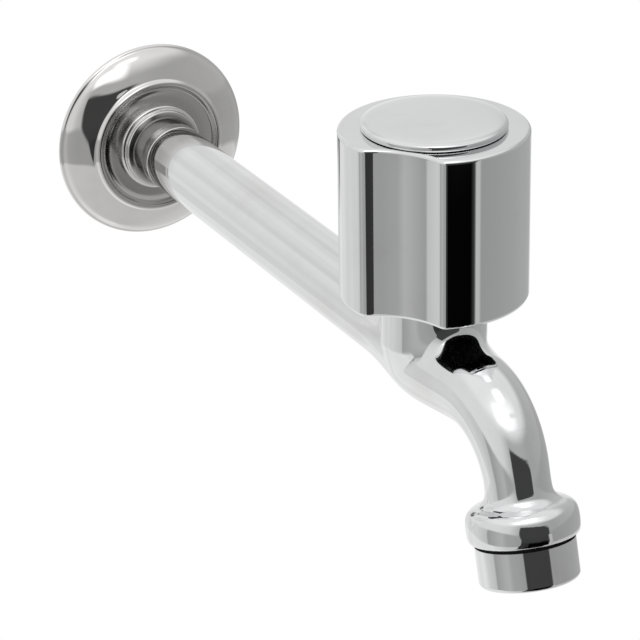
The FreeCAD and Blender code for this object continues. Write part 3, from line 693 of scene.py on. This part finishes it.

# %% [markdown]
# The narrow waist between the flange and the tube is painted dark, and the nose after it a little
# darker than clean chrome: both painted shade. The start of the tube is painted darker too, as shade
# near the shank, and clears up along the way. From its shoulder up the aerator's ring is painted black
# and dull: painted shadow in the gap under the collar, which draws the dark joint line there.

# %% Chrome of the shank, the tube and the aerator
waist_start = (-9.6 * mm, -10.6 * mm)
waist_end = (-14.2 * mm, -15.4 * mm)
shaded_tube_start = (-37 * mm, -25.5 * mm)
shoulder_height = 9.7 * mm

shank_chrome, tree, surface = chrome("chrome_plate_shaded_waist", *warm, 0.0, roughness=0.15)
_, split = object_place(tree)
nose = smooth_range(tree, split["Y"], *waist_end)
waist = math_node(tree, "MULTIPLY", smooth_range(tree, split["Y"], *waist_start),
                  math_node(tree, "SUBTRACT", 1.0, nose))
# painted shade: the waist dark, the nose a little darker than clean chrome
over(tree, surface, "Base Color", "RGBA", waist, (0.22, 0.216, 0.21, 1))
over(tree, surface, "Base Color", "RGBA", nose, (0.72, 0.71, 0.70, 1))

tube_chrome, tree, surface = chrome("chrome_plate_shaded_root")
_, split = object_place(tree)
root = smooth_range(tree, split["Y"], *shaded_tube_start)
# painted shade: the tube's start is darker near the shank and clears up along the tube
over(tree, surface, "Base Color", "RGBA", root, (0.53, 0.522, 0.515, 1))

joint_shadow_chrome, tree, surface = chrome("chrome_plate_joint_shadow")
place, _ = object_place(tree)
from_outlet = vector_node(tree, "SUBTRACT", place, outlet)["Vector"]
up_outlet = vector_node(tree, "DOT_PRODUCT", from_outlet, outlet_up)["Value"]
shoulder = math_node(tree, "GREATER_THAN", up_outlet, shoulder_height)
# painted shadow: the shoulder is black and dull inside the gap under the collar
over_painted_shade(tree, surface, shoulder, (0.006, 0.006, 0.006, 1), 0.8)
print("chrome finishes:", shank_chrome.name, tube_chrome.name, joint_shadow_chrome.name)

# %% [markdown]
# Inside, the headwork's cartridge and spindle are turned from brass, the discs are ground ceramic,
# the rings are moulded rubber and the aerator is moulded plastic with steel screens. Few of these
# are seen, but each has its own colour, shine and relief.

# %% Finishes of the inner pieces
def shine(tree, surface, pattern, spread, lowest):
    """Roughness that goes with a pattern, from the lowest value by a spread."""
    put(tree, math_node(tree, "MULTIPLY_ADD", pattern, spread, lowest), surface.inputs["Roughness"])


brass, tree, surface, pattern = finish("turned_brass", turned_group, 1.0, [("Marks per mm", 5.0)])
tarnish = smooth_range(tree, pattern["Shade"], 0.4, 0.75)
tint(tree, surface, tarnish, (0.78, 0.56, 0.27, 1), (0.52, 0.35, 0.16, 1))
shine(tree, surface, pattern["Height"], 0.25, 0.16)
relief(tree, surface, pattern["Height"], 0.02 * mm)

steel, tree, surface, pattern = finish("satin_steel", turned_group, 1.0, [("Marks per mm", 9.0)])
tint(tree, surface, pattern["Shade"], (0.50, 0.50, 0.51, 1), (0.62, 0.62, 0.63, 1))
shine(tree, surface, pattern["Height"], 0.25, 0.2)
relief(tree, surface, pattern["Height"], 0.008 * mm)

ceramic, tree, surface, pattern = finish("lapped_ceramic", grain_group, 0.0, [("Grain Scale", 6000.0)])
tint(tree, surface, pattern["Cloud"], (0.80, 0.78, 0.71, 1), (0.86, 0.85, 0.80, 1))
shine(tree, surface, pattern["Height"], 0.2, 0.15)
relief(tree, surface, pattern["Height"], 0.001 * mm)

rubber, tree, surface, pattern = finish("moulded_rubber", grain_group, 0.0, [("Grain Scale", 3500.0)])
bloom = smooth_range(tree, pattern["Cloud"], 0.45, 0.8)
tint(tree, surface, bloom, (0.018, 0.018, 0.019, 1), (0.055, 0.054, 0.052, 1))
shine(tree, surface, pattern["Cloud"], 0.3, 0.5)
relief(tree, surface, pattern["Height"], 0.02 * mm)

plastic, tree, surface, pattern = finish("moulded_plastic", grain_group, 0.0, [("Grain Scale", 2000.0)])
tint(tree, surface, pattern["Cloud"], (0.74, 0.74, 0.71, 1), (0.82, 0.82, 0.80, 1))
shine(tree, surface, pattern["Height"], 0.2, 0.3)
relief(tree, surface, pattern["Height"], 0.008 * mm)

screen, tree, surface, pattern = finish("woven_screen", woven_group, 1.0, [("Threads per mm", 2.0)])
# painted shade: between the threads the screen is near-black, for the dark seen through its openings
tint(tree, surface, pattern["Wire"], (0.01, 0.01, 0.01, 1), (0.58, 0.58, 0.59, 1))
shine(tree, surface, pattern["Wire"], -0.6, 0.9)
relief(tree, surface, pattern["Height"], 0.1 * mm)
print("inner finishes:", [inner.name for inner in (brass, steel, ceramic, rubber, plastic, screen)])

# %% [markdown]
# The round pieces are turned or pressed on the real tap. The same can be done here from one circle:
# it is extruded ring by ring along its axis, each ring resized to the profile, and a Subdivision
# Surface then draws a smooth curve through the rings. That curve runs a little inside its control
# rings, so the circle is drawn larger by the amount that the rounding takes off.

# %% Helpers for turned and swept pieces
def leave_edit():
    """Back to object mode with nothing selected."""
    bpy.ops.object.mode_set(mode="OBJECT")
    bpy.ops.object.select_all(action="DESELECT")


def apply_modifier(piece, kind, **settings):
    """Adds a modifier with these settings to a piece and applies it."""
    bpy.context.view_layer.objects.active = piece
    added = piece.modifiers.new(kind.lower(), kind)
    for name, value in settings.items():
        setattr(added, name, value)
    bpy.ops.object.modifier_apply(modifier=added.name)


def fullness(sides):
    """How much larger a control ring is than the circle that subdivision draws from it."""
    return 3 / (2 + math.cos(2 * math.pi / sides))


def open_ring(name, centre, direction, radius, sides):
    """Adds a circle across a direction and leaves it selected in edit mode."""
    turn = direction.to_track_quat("Z", "Y").to_euler()
    bpy.ops.mesh.primitive_circle_add(vertices=sides, radius=radius * fullness(sides), location=centre,
                                      rotation=turn)
    piece = bpy.context.object
    piece.name = name
    piece.data.name = name
    bpy.ops.object.transform_apply(location=True, rotation=True)
    bpy.ops.object.mode_set(mode="EDIT")
    bpy.ops.mesh.select_all(action="SELECT")
    return piece


def next_ring(start, end, growth, bend=0.0):
    """Extrudes the selected ring to the next centre, resizes it and bends it down."""
    bpy.ops.mesh.extrude_edges_move(TRANSFORM_OT_translate={"value": end - start})
    bpy.ops.transform.resize(value=(growth, growth, growth), center_override=end)
    if bend:
        bpy.ops.transform.rotate(value=-bend, orient_axis="X", center_override=end)


def close_shell(merge):
    """Closes the mesh in edit mode, by merging its ends or by filling them, faces outwards."""
    bpy.ops.mesh.select_all(action="SELECT")
    if merge:
        bpy.ops.mesh.remove_doubles(threshold=1e-7)
    else:
        bpy.ops.mesh.fill_holes(sides=0)
    bpy.ops.mesh.normals_make_consistent(inside=False)
    leave_edit()


def turned_piece(name, origin, direction, profile, sides=64, loop=False):
    """Piece turned about an axis, from (height, radius) in millimetres."""
    height, radius = profile[0]
    centre = origin + direction * height * mm
    piece = open_ring(name, centre, direction, radius * mm, sides)
    for next_height, next_radius in profile[1:] + (profile[:1] if loop else []):
        end = origin + direction * next_height * mm
        next_ring(centre, end, next_radius / radius)
        centre = end
        radius = next_radius
    close_shell(merge=loop)
    apply_modifier(piece, "SUBSURF", levels=2, render_levels=2)
    piece.data.shade_smooth()
    print(name, len(piece.data.polygons), "faces")
    return piece


def cut_away(piece, tool):
    """Cuts one piece out of another and removes the tool."""
    apply_modifier(piece, "BOOLEAN", operation="DIFFERENCE", solver="EXACT", object=tool)
    bpy.data.objects.remove(tool)


# %% [markdown]
# The wall flange is pressed from sheet: a rounded lip on the wall, a slight step, a long swelling
# face, a raised bead and a flat seat for the shank's collar. Its profile is one closed line, front
# and back, so the sheet has its real thickness. Heights are measured out from the wall.

# %% Wall flange
inlet = Vector((0, 0, 0))
flange_front = [
    (0.0, 27.9), (0.1, 28.5), (0.7, 28.65), (1.2, 28.35), (1.4, 27.9), (1.65, 27.6), (2.25, 27.1),
    (3.1, 26.2), (4.1, 24.7), (5.05, 23.1), (5.85, 21.5), (6.3, 20.3), (6.5, 19.75), (7.2, 19.35),
    (7.7, 18.6), (7.3, 17.9), (6.4, 17.3), (6.3, 16.8), (6.5, 16.2), (6.6, 15.4), (6.6, 13.4), (6.6, 10.8),
    (6.6, 10.7),
]
flange_back = [
    (5.6, 10.7), (5.6, 10.8), (5.6, 16.0), (5.5, 19.6), (4.3, 22.0), (3.2, 24.4), (1.8, 26.4), (0.7, 27.2),
    (0.0, 27.3),
]
flange = turned_piece("flange_plate", inlet, out_of_wall, flange_front + flange_back, loop=True)
flange.data.materials.append(flange_chrome)
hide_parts("wall_flange")
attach(flange, "tap_body")

# %% [markdown]
# The cap that hides the knob's screw is a shallow disc with an upright rim. It stands a hair above
# the knob, which leaves the dark line round it.

# %% Knob cap
cap_seat = Vector((knob_axis.x, knob_axis.y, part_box("knob_shell")[1].z))
cap_profile = [
    (0.15, 0.8), (0.15, 8.0), (0.15, 16.2), (0.15, 17.2), (0.2, 17.5), (0.4, 17.6), (0.8, 17.62),
    (1.25, 17.6), (1.6, 17.4), (1.88, 16.8), (2.02, 15.8), (2.08, 13.5), (2.13, 9.0), (2.16, 4.0),
    (2.16, 0.8),
]
cap = turned_piece("cap_disc", cap_seat, upwards, cap_profile)
cap.data.materials.append(plain_chrome)
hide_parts("knob_cap")
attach(cap, "knob")

# %% [markdown]
# The valve body is one brass casting: chest, neck, spout and collar flow into each other. Casting
# and polishing leave no hard line between them, which plain turned pieces would show. So the three
# forms are made apart and then fused: the run from the tube to the outlet is a ring extruded along
# its bend, the neck and the collar are turned. Each ring of the run has its place ahead of the
# knob's axis, its height and its radius, all in millimetres, and how far it has turned down.

# %% Valve body: run of the chest and the spout
spout_drop = 0.6
bend_radius = 20.3
bend_turn = math.pi / 2 - outlet_lean
bend_steps = 8
bend_thickness = 9.4
bend_thinning = 1.45
corner_ahead = outlet_ahead - (outlet_drop - spout_drop) * math.tan(outlet_lean)
bend_ahead = corner_ahead - bend_radius * math.tan(bend_turn / 2)
joint_behind_knob = 24


def spine_point(ahead, height):
    """Point in the tap's middle plane, in millimetres ahead of the knob's axis and up."""
    return Vector((0, knob_axis.y - ahead * mm, height * mm))


run = [
    (-30, 0, 9.5, 0), (-27, 0, 9.5, 0), (-joint_behind_knob, 0, 9.5, 0), (-19, 0, 9.6, 0), (-14, 0, 10.0, 0),
    (-7, 0, 10.9, 0), (0, 0, 11.9, 0), (7, -0.3, 11.1, 0), (14, -0.6, 10.0, 0),
]
for step in range(bend_steps + 1):
    share = step / bend_steps
    turned = bend_turn * share
    ahead = bend_ahead + bend_radius * math.sin(turned)
    height = -spout_drop - bend_radius * (1 - math.cos(turned))
    run.append((ahead, height, bend_thickness - bend_thinning * share, turned))
for above, radius in ((25.0, 7.95), (22.0, 8.0), (20.6, 8.3), (19.6, 9.2), (18.6, 10.8), (14.0, 11.5)):
    middle = outlet + outlet_up * above * mm
    run.append(((knob_axis.y - middle.y) / mm, middle.z / mm, radius, bend_turn))
ahead, height, radius, bent = run[0]
centre = spine_point(ahead, height)
body = open_ring("body_casting", centre, out_of_wall, radius * mm, 32)
for ahead, height, next_radius, next_bent in run[1:]:
    end = spine_point(ahead, height)
    next_ring(centre, end, next_radius / radius, next_bent - bent)
    centre = end
    radius = next_radius
    bent = next_bent
close_shell(merge=False)
apply_modifier(body, "SUBSURF", levels=2, render_levels=2)
print("run of", len(run), "rings")

# %% [markdown]
# A voxel remesh makes one skin of the three forms, and smoothing works the joints into fillets. It
# is strongest in a ring round the neck's root, where the neck grows out of the chest, and fades out
# towards the ring's edges. The ring's middle and its reach on each side are in millimetres.

# %% Valve body: neck, collar and one skin
skin_voxel = 0.42
root_radius = 15
root_reach = 8
root_height = 12
root_rise = 8

knob_foot = Vector((knob_axis.x, knob_axis.y, 0))
neck = turned_piece("neck", knob_foot, upwards, [
    (-7, 8.0), (-6.5, 9.5), (-5, 10.7), (0, 12.2), (4, 13.1), (8, 13.2), (16, 13.2), (23.7, 13.2),
    (23.9, 13.2), (24, 13.0), (24, 12.0),
])
collar = turned_piece("collar", outlet, outlet_up, [
    (10.55, 11.0), (10.55, 12.6), (10.65, 13.0), (11.0, 13.4), (12.0, 13.6), (14.2, 13.7), (16.4, 13.55),
    (17.6, 13.0), (18.4, 12.0), (19.1, 10.6), (19.3, 8.0),
])
bpy.ops.object.select_all(action="DESELECT")
for piece in (neck, collar, body):
    piece.select_set(True)
bpy.context.view_layer.objects.active = body
bpy.ops.object.join()
apply_modifier(body, "REMESH", mode="VOXEL", voxel_size=skin_voxel * mm)
root = body.vertex_groups.new(name="neck_root")
for vertex in body.data.vertices:
    across = (vertex.co - knob_foot).to_2d().length
    away = max(abs(across - root_radius * mm) / (root_reach * mm),
               abs(vertex.co.z - root_height * mm) / (root_rise * mm))
    if away < 1:
        root.add([vertex.index], min(1, 2 - 2 * away), "REPLACE")
apply_modifier(body, "SMOOTH", factor=0.5, iterations=420, vertex_group="neck_root")
apply_modifier(body, "SMOOTH", factor=0.5, iterations=8)
body.vertex_groups.clear()
print("one skin of", len(body.data.vertices), "points")

# %% [markdown]
# The headwork sits in a bore of the neck and the aerator in a bore of the collar. At the rear the
# body ends in a flat joint against the tube, so it is cut off there.

# %% Valve body: bores and finish
neck_bore_floor = 4
neck_bore_radius = 10.48
neck_bore_depth = 22
collar_bore_start = 8
collar_bore_radius = 12.05
collar_bore_depth = 9.2


def bore(centre, direction, radius, depth):
    """Cylinder that starts at a centre and runs along a direction, to cut with."""
    turn = direction.to_track_quat("Z", "Y").to_euler()
    bpy.ops.mesh.primitive_cylinder_add(vertices=128, radius=radius, depth=depth,
                                        location=centre + direction * depth / 2, rotation=turn)
    return bpy.context.object


cut_away(body, bore(knob_foot + upwards * neck_bore_floor * mm, upwards, neck_bore_radius * mm,
                    neck_bore_depth * mm))
cut_away(body, bore(outlet + outlet_up * collar_bore_start * mm, outlet_up, collar_bore_radius * mm,
                    collar_bore_depth * mm))
body.select_set(True)
bpy.context.view_layer.objects.active = body
bpy.ops.object.mode_set(mode="EDIT")
bpy.ops.mesh.select_all(action="SELECT")
bpy.ops.mesh.bisect(plane_co=spine_point(-joint_behind_knob, 0), plane_no=-out_of_wall, use_fill=True,
                    clear_outer=True)
bpy.ops.object.mode_set(mode="OBJECT")
bpy.ops.object.shade_smooth_by_angle(angle=math.radians(50))
bpy.ops.object.select_all(action="DESELECT")
body.data.materials.clear()
body.data.materials.append(plain_chrome)
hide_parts("valve_body")
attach(body, "tap_body")
print("valve body:", len(body.data.polygons), "faces")

# %% [markdown]
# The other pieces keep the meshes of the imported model, whose curved faces carry the exact normals of
# the solids, which a mirror needs. Each takes the finish of its material slot, and the knob, the
# shank, the tube and the aerator's ring take their own chrome.

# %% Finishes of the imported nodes
finish_of_slot = {
    "chrome_plate": plain_chrome,
    "brass": brass,
    "spring_steel": steel,
    "screen_steel": screen,
    "valve_ceramic": ceramic,
    "seal_rubber": rubber,
    "white_plastic": plastic,
}
finish_of_node = {
    "knob_shell": knob_chrome,
    "inlet_shank": shank_chrome,
    "body_tube": tube_chrome,
    "aerator_housing": joint_shadow_chrome,
}
for row in frame["record"]["subparts"]:
    node = nodes[row["node"]]
    node.data.materials.clear()
    node.data.materials.append(finish_of_node.get(row["node"], finish_of_slot[row["material_slot"]]))
